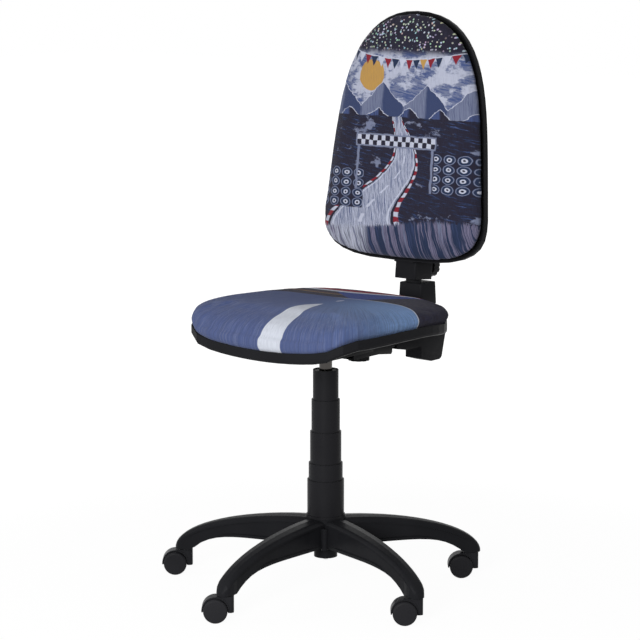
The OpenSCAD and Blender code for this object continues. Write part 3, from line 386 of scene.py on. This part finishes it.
def bent_rod(route, radius, bend):
    """A round rod: a circle drawn out along the straight runs and spun through the bends."""
    bm = bmesh.new()
    along = (route[1] - route[0]).normalized()
    start = Matrix.Translation(route[0]) @ along.to_track_quat("Z", "Y").to_matrix().to_4x4()
    bmesh.ops.create_circle(bm, segments=ROD_SIDES, radius=radius, matrix=start)
    ring, at = list(bm.edges), route[0]
    for i, corner in enumerate(route[1:], 1):
        ahead = (route[i + 1] - corner).normalized() if i + 1 < len(route) else None
        turn = along.angle(ahead) if ahead else 0.0
        stop = corner - along * bend * math.tan(turn / 2)
        grown = bmesh.ops.extrude_edge_only(bm, edges=ring)["geom"]
        end = [v for v in grown if isinstance(v, bmesh.types.BMVert)]
        bmesh.ops.translate(bm, verts=end, vec=stop - at)
        ring = [e for e in grown if isinstance(e, bmesh.types.BMEdge)]
        if ahead is None:
            break
        axis = along.cross(ahead).normalized()
        centre = stop + axis.cross(along) * bend
        verts = list({v for e in ring for v in e.verts})
        spun = bmesh.ops.spin(bm, geom=verts + ring, cent=centre, axis=axis, angle=turn, steps=BEND_STEPS)
        ring = [e for e in spun["geom_last"] if isinstance(e, bmesh.types.BMEdge)]
        at = corner + ahead * bend * math.tan(turn / 2)
        along = ahead
    bmesh.ops.remove_doubles(bm, verts=bm.verts, dist=MERGE_DISTANCE)
    bmesh.ops.holes_fill(bm, edges=bm.edges, sides=0)
    bmesh.ops.recalc_face_normals(bm, faces=bm.faces)
    for face in bm.faces:
        face.smooth = len(face.verts) == 4
    return bm


dress("knob_plastic", plastic, colour=(0.012, 0.012, 0.0132), roughness=0.4, grain=1400.0, depth=0.00006)
lever_wire = bent_rod(LEVER_ROUTE, LEVER_R, LEVER_BEND)
add_piece("lever_wire", lever_wire, FINISH["black_steel"], "lever", "black_steel", "lever_rod")
moulded("lever_paddle", 0.0015)


# Seat: a plywood board in a thin moulded pan, padded with foam and covered in printed
# cloth that is tucked inside the pan's rim. The print is a generic one of sweeping stripes.
WOOD_PALE, WOOD_DARK = (0.62, 0.44, 0.25), (0.33, 0.2, 0.1)
FIBRES_ACROSS, FIBRES_ALONG, FIBRE_DEPTH = 160.0, 9.0, 0.0003


def plywood(name):
    """Plywood board: pale wood with long grain."""
    shader = Shader(name)
    x, y, z = shader.place()
    fibres = shader.point(x * FIBRES_ACROSS, y * FIBRES_ALONG, z * FIBRES_ACROSS)
    grain = shader.noise(fibres, detail=5.0, rough=0.6, warp=0.6)
    shader.bump(grain, FIBRE_DEPTH)
    return shader.set(Base_Color=shader.mix(grain, WOOD_PALE, WOOD_DARK), Roughness=0.6)


dress("plywood", plywood)
SHELL_BLACK = (0.0135, 0.0137, 0.0155)
dress("shell_plastic", plastic, colour=SHELL_BLACK, roughness=0.38, grain=1000.0, depth=0.00014, shine=0.02)


CLOTH_VOXEL = 0.005
CLOTH_RISE = 0.004
CLOTH_PRESSURE = 4.0
CLOTH_QUALITY = 5
CLOTH_FRAMES = 20
SMOOTH_ROUNDS = 6


def bake_modifiers(piece):
    """Puts the result of the piece's modifiers into its mesh and takes them off."""
    result = bpy.data.meshes.new_from_object(piece.evaluated_get(bpy.context.evaluated_depsgraph_get()))
    piece.modifiers.clear()
    piece.data = result


def blow_up(piece, held):
    """Lets pressure lift the cloth where it isn't held, by CLOTH_RISE at most."""
    before = [v.co.copy() for v in piece.data.vertices]
    pins = piece.vertex_groups.new(name="held")
    pins.add([v.index for v in piece.data.vertices if held(v.co)], 1.0, "REPLACE")
    cloth = piece.modifiers.new("cloth", "CLOTH").settings
    cloth.vertex_group_mass = pins.name
    cloth.use_pressure = True
    cloth.uniform_pressure_force = CLOTH_PRESSURE
    cloth.effector_weights.gravity = 0.0
    cloth.quality = CLOTH_QUALITY
    for frame_number in range(1, CLOTH_FRAMES + 1):
        bpy.context.scene.frame_set(frame_number)
    bake_modifiers(piece)
    bpy.context.scene.frame_set(1)
    for vertex, start in zip(piece.data.vertices, before):
        moved = vertex.co - start
        if moved.length > CLOTH_RISE:
            vertex.co = start + moved * (CLOTH_RISE / moved.length)


def stuffed(node, material, held):
    """The CAD cushion as cloth over foam: remeshed, smoothed and blown up a little.

    held(point) is true where the cloth is fixed, inside the pan or the shell."""
    bm = bmesh.new()
    bm.from_mesh(NODES[node].data)
    bmesh.ops.remove_doubles(bm, verts=bm.verts, dist=MERGE_DISTANCE)
    piece = add_piece(node + "_cover", bm, material, BODY_OF[node], SLOT_OF[node], node)
    remesh = piece.modifiers.new("even_cloth", "REMESH")
    remesh.mode, remesh.voxel_size = "VOXEL", CLOTH_VOXEL
    onto_foam = piece.modifiers.new("onto_foam", "SHRINKWRAP")
    onto_foam.target = NODES[node]
    bake_modifiers(piece)
    bm = bmesh.new()
    bm.from_mesh(piece.data)
    for _ in range(SMOOTH_ROUNDS):
        bmesh.ops.smooth_vert(
            bm, verts=bm.verts, factor=0.5, use_axis_x=True, use_axis_y=True, use_axis_z=True
        )
    bm.to_mesh(piece.data)
    bm.free()
    blow_up(piece, held)
    finer = piece.modifiers.new("finer", "SUBSURF")
    finer.levels = finer.render_levels = 1
    bake_modifiers(piece)
    for face in piece.data.polygons:
        face.use_smooth = True
    return piece


def weave_body(shader, given):
    """Plain woven cloth in the plane of the two inputs: raised threads both ways, and slubs."""
    along = (given["Across"] * given["Threads per metre"]).math("SINE")
    up = (given["Up"] * given["Threads per metre"]).math("SINE")
    slub = shader.noise(shader.point(given["Across"] * 900.0, given["Up"] * 60.0), detail=2.0)
    height = along.math("ABSOLUTE") * 0.5 + up.math("ABSOLUTE") * 0.5 + slub * 0.8
    return {"Height": height, "Slub": slub - 0.5}


WEAVE_INPUTS = {"Across": 0.0, "Up": 0.0, "Threads per metre": 6000.0}
WEAVE = make_group("cloth_weave", WEAVE_INPUTS, ("Height", "Slub"), weave_body)


# Colours of the two prints, shared so that seat and backrest belong together
SLATE = (0.082, 0.118, 0.285)
SLATE_DEEP = (0.055, 0.075, 0.17)
SKY = (0.26, 0.45, 0.82)
LAVENDER = (0.66, 0.69, 0.83)
MIST = (0.24, 0.27, 0.40)
PALE = (0.80, 0.84, 0.93)
LILAC = (0.24, 0.22, 0.33)
PLUM = (0.028, 0.024, 0.038)
NAVY = (0.028, 0.042, 0.09)
BLUE = (0.04, 0.075, 0.30)
RED = (0.30, 0.025, 0.035)
AMBER = (0.62, 0.36, 0.10)
BROWN = (0.13, 0.065, 0.05)


def cloth_finish(s, picture, weave, slubs):
    """Principled values of the printed cloth, with the slubs of its weave showing in the print."""
    picture = s.mix((weave["Slub"] * 0.5 + slubs).math("MAXIMUM", 0.0), picture, SLATE_DEEP)
    return s.set(
        Base_Color=picture, Roughness=0.85, Specular_IOR_Level=0.03, Sheen_Weight=0.1, Sheen_Roughness=0.45
    )


# Places on the seat's print in metres: where its threads run out from, the pale stripe with its
# dash, the line across the seat, and the point at its right rear where the bands run together
THREADS_X, THREADS_Y = 0.05, 0.015
STRIPE_LEFT_X, STRIPE_RIGHT_X, STRIPE_Y, STRIPE_LONG = 0.016, 0.058, -0.227, 0.145
DASH_X, DASH_Y, DASH_WIDE, DASH_LONG = 0.051, -0.016, 0.0032, 0.014
LINE_X, LINE_Y, LINE_CURVE, LINE_HALF = 0.11, 0.044, 1.6, 0.0014
BANDS_X, BANDS_Y, BANDS_SLOPE, BANDS_CURVE = 0.137, 0.168, 0.62, 1.5
SEAT_FIXED_Z = 0.5735
SEAT_WEAVE_DEPTH = 0.00022


def seat_stripe(x, y):
    """The pale stripe, which sweeps from the front edge to a tip, and the dash past its tip."""
    t = ((y - STRIPE_Y) / STRIPE_LONG).math("MAXIMUM", 0.0)
    foot = (1.0 - t).math("MAXIMUM", 0.0).math("POWER", 4.0) * 0.018
    left = STRIPE_LEFT_X - foot + t.math("POWER", 3.5) * 0.040
    right = STRIPE_RIGHT_X + (t * math.pi).math("SINE") * 0.007
    along, aside = (y - DASH_Y) / DASH_LONG, (x - DASH_X) / DASH_WIDE
    dash = (aside * aside + along * along).under(1.0, 0.25)
    return x.between(left, right, 0.0008) * t.under(1.06, 0.02), dash


def seat_bands(s, x, y, streak):
    """Plum cloth with brown, amber, blue, pale, red and slate bands that close up to the right rear."""
    from_right, from_rear = BANDS_X - x, BANDS_Y - y
    band = from_rear + from_right * (from_right * BANDS_CURVE - BANDS_SLOPE) + (streak - 0.5) * 0.006
    tail = x + y * 1.25 + (streak - 0.5) * 0.01
    return s.paint(
        PLUM,
        (band.near(0.020, 0.004), BROWN),
        (band.near(0.032, 0.0015), AMBER),
        (tail.over(0.080, 0.004), BLUE),
        (band.under(-0.006, 0.003), PALE),
        (band.under(-0.020, 0.002), RED),
        (band.under(-0.050, 0.004), SLATE_DEEP),
        ((from_rear - from_right * 1.75).over(0.0), PLUM),
    )


def seat_fabric():
    """Printed cloth: slate blue front with one sweeping pale stripe, and a group of bands behind."""
    s = Shader("seat_fabric")
    x, y, z = s.place()
    along, aside = y - THREADS_Y, x - THREADS_X
    turn = s.math("ARCTAN2", along, aside)
    out = (aside * aside + along * along).math("SQRT")
    streak = s.noise(s.point(turn * 64.0, out * 9.0), detail=4.0, rough=0.8)
    thread = s.noise(s.point(turn * 180.0, out * 24.0), detail=3.0, rough=0.8)
    rim = out.over(0.14, 0.10)
    front = s.mix(y.over(-0.12, 0.12) * x.over(0.10, 0.12), SLATE, SKY)
    front = s.mix(streak.over(0.53, 0.10) * (rim * 0.40 + 0.15), front, SLATE_DEEP)
    front = s.mix(thread.under(0.44, 0.10) * (rim * 0.12 + 0.06), front, LAVENDER)
    stripe, dash = seat_stripe(x, y)
    front = s.paint(front, (stripe, PALE), (dash, PALE))
    from_x = (x - LINE_X).math("MAXIMUM", -0.09)
    line = LINE_Y - from_x * from_x * LINE_CURVE
    piping = y.near(line, LINE_HALF, 0.0006) * x.over(0.01, 0.02)
    cloth = s.paint(front, (y.over(line, 0.0007), seat_bands(s, x, y, streak)), (piping, PALE))
    cloth = s.mix(thread.over(0.60, 0.10) * (rim * 0.16 + 0.07), cloth, LILAC)
    weave = s.use(WEAVE, Across=x, Up=y + z)
    s.bump(weave["Height"] + streak * rim * 2.0, SEAT_WEAVE_DEPTH)
    return cloth_finish(s, cloth, weave, 0.1)


def under_seat_edge(point):
    """True where the cloth is tucked in the pan, below its rim."""
    return point.z < SEAT_FIXED_Z


seat = stuffed("seat_cushion", seat_fabric(), under_seat_edge)


# Back post: a flat steel bar that rises behind the seat in a moulded sleeve, with an elbow
# cover at its foot and the carriage that slides on it for the height of the backrest.
for node, radius in (("post_sleeve", 0.0022), ("back_carriage", 0.0015), ("elbow_cover", 0.0035)):
    moulded(node, radius)


# Backrest: a plywood board behind foam, with a moulded shell over its back. The cloth print
# is a generic picture: dusk sky with confetti and pennants, hills, and a winding road.
BACK_SEAM_Y, BACK_LOW_Z = 0.264, 0.679
BACK_TILT = math.radians(6)
BACK_WEAVE_DEPTH = 0.0002


# Places on the backrest's print in metres: u across it from the middle, v up it from its foot
SPECKS, SPECKS_LOW_V = 170.0, 0.456
SUN_U, SUN_V, SUN_R = -0.082, 0.398, 0.034
STRING_V, STRING_SAG, PENNANT_WIDE, PENNANT_LONG = 0.434, 0.9, 0.019, 0.022
HORIZON_V = 0.310
TYRE_WIDE, TYRE_HIGH = 0.034, 0.0215
TYRES_LEFT_U, TYRES_LEFT_V = -0.085, (0.1075, 0.193)
TYRES_RIGHT_U, TYRES_RIGHT_V = 0.101, (0.1505, 0.2365)
GANTRY_LEFT, GANTRY_RIGHT, GANTRY_LOW, GANTRY_HIGH = -0.1095, 0.0995, 0.246, 0.268
GANTRY_RIM, GANTRY_CHECK = 0.003, 0.011
POST_INSET, POST_HALF, POST_FOOT_V = 0.0045, 0.003, 0.150
STROKES_V = 0.078
# Added to u where a motif repeats, so that the count starts left of the pad and is never negative
FAR_LEFT = 1.0


def back_sky(s, u, v, level, wash):
    """Sky in level strokes, darker above, with a low sun and confetti along the top."""
    sky = s.mix(level.over(0.50, 0.08), MIST, SLATE)
    sky = s.paint(sky, (wash.over(0.50, 0.05) * 0.85, LAVENDER), (v.over(0.448, 0.01), PLUM))
    where = s.point(u, v)
    speck = Value(s, s.cells(where, SPECKS, "Distance")).under(0.36, 0.08)
    bright = Value(s, s.cells(where, SPECKS)).over(0.42, 0.05)
    confetti = s.mix(0.62, s.cells(where, SPECKS), LAVENDER)
    sun_u, sun_v = (u - SUN_U) / SUN_R, (v - SUN_V) / SUN_R
    sun = (sun_u * sun_u + sun_v * sun_v).under(1.0, 0.04)
    return s.paint(sky, (sun, AMBER), (speck * bright * v.over(SPECKS_LOW_V, 0.008), confetti))


def back_pennants(s, picture, u, v):
    """Pennants in four colours on a string that sags from edge to edge."""
    string = STRING_V + u * u * STRING_SAG
    hang = (string - v) / PENNANT_LONG
    tooth = (u + FAR_LEFT).math("PINGPONG", PENNANT_WIDE / 2) / (PENNANT_WIDE / 2)
    flag = (tooth - hang).over(0.0, 0.05) * hang.over(0.0, 0.03)
    count = ((u + FAR_LEFT) / PENNANT_WIDE).math("FLOOR")
    third, fourth = count.math("MODULO", 3.0), count.math("MODULO", 4.0)
    amber = fourth.over(2.5) * third.under(1.5)
    flags = s.paint(LAVENDER, (third.over(1.5), RED), (amber, AMBER), (third.under(0.5), NAVY))
    return s.paint(picture, (flag, flags), (v.near(string, 0.0010, 0.0005), LAVENDER))


def back_hills(s, picture, u, v, upright, wash):
    """Two rows of hills, each face lit or shaded, with a pale crest."""
    for base, steep, wide, shift, dark, light in (
        (0.332, 0.85, 0.058, 0.034, SLATE_DEEP, MIST),
        (0.300, 0.75, 0.041, 0.000, PLUM, SLATE),
    ):
        along = u + FAR_LEFT + shift
        crest = base + along.math("PINGPONG", wide) * steep + (wash - 0.5) * 0.03
        lit = (along * (math.pi / wide)).math("SINE").over(0.0, 0.25) * upright.over(0.42, 0.2)
        face = s.mix(lit, dark, light)
        rim = v.near(crest, 0.0009, 0.0006)
        picture = s.paint(picture, (v.under(crest, 0.0007), face), (rim, LAVENDER))
    return picture


def back_ground(s, picture, v, level, wash):
    """Dark ground below the horizon, in level strokes."""
    ground = s.paint(
        PLUM, (level.over(0.56, 0.05), NAVY), (level.over(0.63, 0.04), SLATE), (wash.over(0.62, 0.03), MIST)
    )
    return s.paint(picture, (v.under(HORIZON_V, 0.0008), ground))


def back_road(s, picture, u, v, upright):
    """Winding road of pale brush strokes, wider towards the bottom, with edge lines and kerb blocks."""
    near = (HORIZON_V - v).math("MAXIMUM", 0.0)
    middle = (near * 19.0 + 0.4).math("SINE") * (near * 0.26 + 0.016) - 0.012
    half = near * near * 0.85 + near * 0.13 + 0.010
    reach = ((u - middle) / half).math("ABSOLUTE")
    road = s.paint(
        MIST,
        (upright.over(0.42, 0.05), LAVENDER),
        (upright.over(0.50, 0.05), MIST),
        (upright.over(0.60, 0.04), SLATE),
    )
    block = (near * 62.0 - near * near * 40.0).math("FRACT").over(0.5, 0.04)
    dash = (near * 30.0).math("FRACT").over(0.45, 0.04)
    on_ground = v.under(HORIZON_V, 0.0008)
    return s.paint(
        picture,
        (reach.under(1.24, 0.02) * on_ground, s.mix(block, LAVENDER, RED)),
        (reach.under(1.08, 0.015) * on_ground, PLUM),
        (reach.under(0.98, 0.012) * on_ground, road),
        (reach.near(0.88, 0.035, 0.012) * on_ground, LAVENDER),
        (reach.under(0.055, 0.012) * on_ground * dash, LAVENDER),
    )


def back_tyres(s, picture, u, v):
    """Stacks of tyres on both sides of the road."""
    turn_u = ((u + FAR_LEFT) / TYRE_WIDE).math("FRACT") - 0.5
    turn_v = (v / TYRE_HIGH).math("FRACT") - 0.5
    ring = (turn_u * turn_u + turn_v * turn_v * 0.85).math("SQRT")
    tyre = s.paint(
        PLUM,
        (ring.under(0.47, 0.02), NAVY),
        (ring.near(0.40, 0.03, 0.02), MIST),
        (ring.under(0.20, 0.02), LAVENDER),
        (ring.under(0.09, 0.02), PLUM),
    )
    left = u.under(TYRES_LEFT_U) * v.between(*TYRES_LEFT_V)
    right = u.over(TYRES_RIGHT_U) * v.between(*TYRES_RIGHT_V)
    return s.paint(picture, (s.largest(left, right), tyre))


def back_gantry(s, picture, u, v):
    """Chequered board on two posts over the road."""
    row = ((v - GANTRY_LOW) / GANTRY_CHECK).math("FLOOR")
    column = ((u + FAR_LEFT) / GANTRY_CHECK).math("FLOOR")
    check = (row + column + 100.0).math("MODULO", 2.0).over(0.5)
    board = u.between(GANTRY_LEFT, GANTRY_RIGHT) * v.between(GANTRY_LOW, GANTRY_HIGH)
    rim = u.between(GANTRY_LEFT - GANTRY_RIM, GANTRY_RIGHT + GANTRY_RIM)
    rim = rim * v.between(GANTRY_LOW - GANTRY_RIM, GANTRY_HIGH + GANTRY_RIM)
    left_post = u.near(GANTRY_LEFT + POST_INSET, POST_HALF)
    posts = s.largest(left_post, u.near(GANTRY_RIGHT - POST_INSET, POST_HALF))
    posts = posts * v.between(POST_FOOT_V, GANTRY_LOW - GANTRY_RIM)
    return s.paint(picture, (posts, MIST), (rim, MIST), (board, s.mix(check, LAVENDER, PLUM)))


def back_strokes(s, picture, u, v, upright):
    """Long brush strokes that run off the bottom of the pad."""
    stroke = s.noise(s.point(u * 60.0 + v * 12.0, v * 2.0, 11.0), detail=3.0, rough=0.6)
    brush = s.paint(
        SLATE_DEEP,
        (stroke.over(0.42, 0.02), NAVY),
        (stroke.over(0.50, 0.02), LILAC),
        (stroke.over(0.60, 0.015), MIST),
    )
    brush = s.mix(u.under(-0.075, 0.012) * stroke.under(0.56, 0.02), brush, LAVENDER)
    brush = s.mix(upright.over(0.52, 0.12) * 0.7, brush, NAVY)
    top = (upright - 0.5) * 0.05 + (u * 9.0).math("SINE") * 0.015 + STROKES_V
    return s.paint(picture, (v.under(top, 0.002), brush))


def back_fabric():
    """Printed cloth: confetti and pennants over dusk hills, a winding road between stacks of tyres."""
    s = Shader("back_fabric")
    x, y, z = s.place()
    up = (y - BACK_SEAM_Y) * math.sin(BACK_TILT) + (z - BACK_LOW_Z) * math.cos(BACK_TILT)
    u = x + (s.noise(s.point(x * 45.0, up * 45.0), detail=3.0) - 0.5) * 0.007
    v = up + (s.noise(s.point(x * 45.0, up * 45.0, 7.0), detail=3.0) - 0.5) * 0.007
    upright = s.noise(s.point(u * 420.0 + v * 60.0, v * 14.0), detail=4.0, rough=0.7)
    level = s.noise(s.point(u * 24.0, v * 260.0 + u * 40.0, 5.0), detail=4.0, rough=0.7)
    wash = s.noise(s.point(u * 16.0, v * 26.0, 3.0), detail=5.0, rough=0.65)
    picture = back_sky(s, u, v, level, wash)
    picture = back_pennants(s, picture, u, v)
    picture = back_hills(s, picture, u, v, upright, wash)
    picture = back_ground(s, picture, v, level, wash)
    picture = back_road(s, picture, u, v, upright)
    picture = back_tyres(s, picture, u, v)
    picture = back_gantry(s, picture, u, v)
    picture = back_strokes(s, picture, u, v, upright)
    picture = s.mix((upright - 0.5).math("MAXIMUM", 0.0) * 0.7, picture, NAVY)
    weave = s.use(WEAVE, Across=x, Up=up)
    s.bump(weave["Height"], BACK_WEAVE_DEPTH)
    return cloth_finish(s, picture, weave, 0.06)


def behind_back_seam(point):
    """True on the side of the seam that lies in the shell."""
    out = (point.y - BACK_SEAM_Y) * math.cos(BACK_TILT) - (point.z - BACK_LOW_Z) * math.sin(BACK_TILT)
    return out > -0.001


back = stuffed("back_cushion", back_fabric(), behind_back_seam)


# Studio: a pale floor and white surroundings, with three soft lamps. The floor and the world
# show white to the camera and in reflections, and light the chair at a plain level.
FLOOR_HALF = 14.0
SKY_LEVEL = 0.30
FLOOR_WHITE = 0.84
FLOOR_GLOW = 1.14
PAPER_GREY = (0.40, 0.40, 0.40)
SHADOW_REACH, SHADOW_FADE = 1.6, 0.9


def shows_white(shader):
    """1 for the rays in which the studio itself is seen: straight, mirrored or through glass."""
    ray = shader.node("ShaderNodeLightPath")
    kinds = ("Is Camera Ray", "Is Glossy Ray", "Is Transmission Ray")
    return shader.largest(*(Value(shader, ray.outputs[kind]) for kind in kinds))


bm = bmesh.new()
bmesh.ops.create_grid(bm, x_segments=2, y_segments=2, size=FLOOR_HALF)
floor_mesh = bpy.data.meshes.new("floor")
bm.to_mesh(floor_mesh)
bm.free()
floor = bpy.data.objects.new("floor", floor_mesh)
bpy.context.scene.collection.objects.link(floor)

paper = Shader("studio_paper")
paper.set(Base_Color=PAPER_GREY, Roughness=0.9, Specular_IOR_Level=0.1)
x, y, _ = paper.place()
far = (x * x + y * y).math("SQRT").over(SHADOW_REACH, SHADOW_FADE)
glow = paper.node("ShaderNodeEmission")
glow.inputs["Strength"].default_value = FLOOR_GLOW
blend = paper.node("ShaderNodeMixShader")
paper.feed(blend.inputs[0], shows_white(paper) * (far * (1 - FLOOR_WHITE) + FLOOR_WHITE))
paper.tree.links.new(paper.bsdf.outputs[0], blend.inputs[1])
paper.tree.links.new(glow.outputs[0], blend.inputs[2])
output = next(n for n in paper.tree.nodes if n.type == "OUTPUT_MATERIAL")
paper.tree.links.new(blend.outputs[0], output.inputs["Surface"])
floor_mesh.materials.append(paper.material)

world = bpy.data.worlds.new("studio")
world.use_nodes = True
sky = Shader("studio", world.node_tree)
background = sky.tree.nodes["Background"]
background.inputs["Color"].default_value = (1, 1, 1, 1)
sky.feed(background.inputs["Strength"], shows_white(sky) * (1 - SKY_LEVEL) + SKY_LEVEL)
bpy.context.scene.world = world


def lamp(name, place, aim, size, power, tint=(1, 1, 1)):
    """A round soft lamp at place, turned to aim."""
    light = bpy.data.lights.new(name, "AREA")
    light.shape, light.size, light.energy, light.color = "DISK", size, power, tint
    holder = bpy.data.objects.new(name, light)
    holder.location = place
    holder.rotation_euler = (Vector(aim) - Vector(place)).to_track_quat("-Z", "Y").to_euler()
    bpy.context.scene.collection.objects.link(holder)


MIDDLE = (0, 0, 0.6)
lamp("key_lamp", (1.25, -3.4, 1.3), MIDDLE, 1.4, 92)
lamp("side_lamp", (-2.6, -2.4, 1.6), MIDDLE, 1.2, 10, (0.97, 0.98, 1.0))
lamp("top_lamp", (-1.6, -1.2, 3.0), MIDDLE, 1.8, 2)

bpy.context.scene.view_settings.view_transform = "Standard"
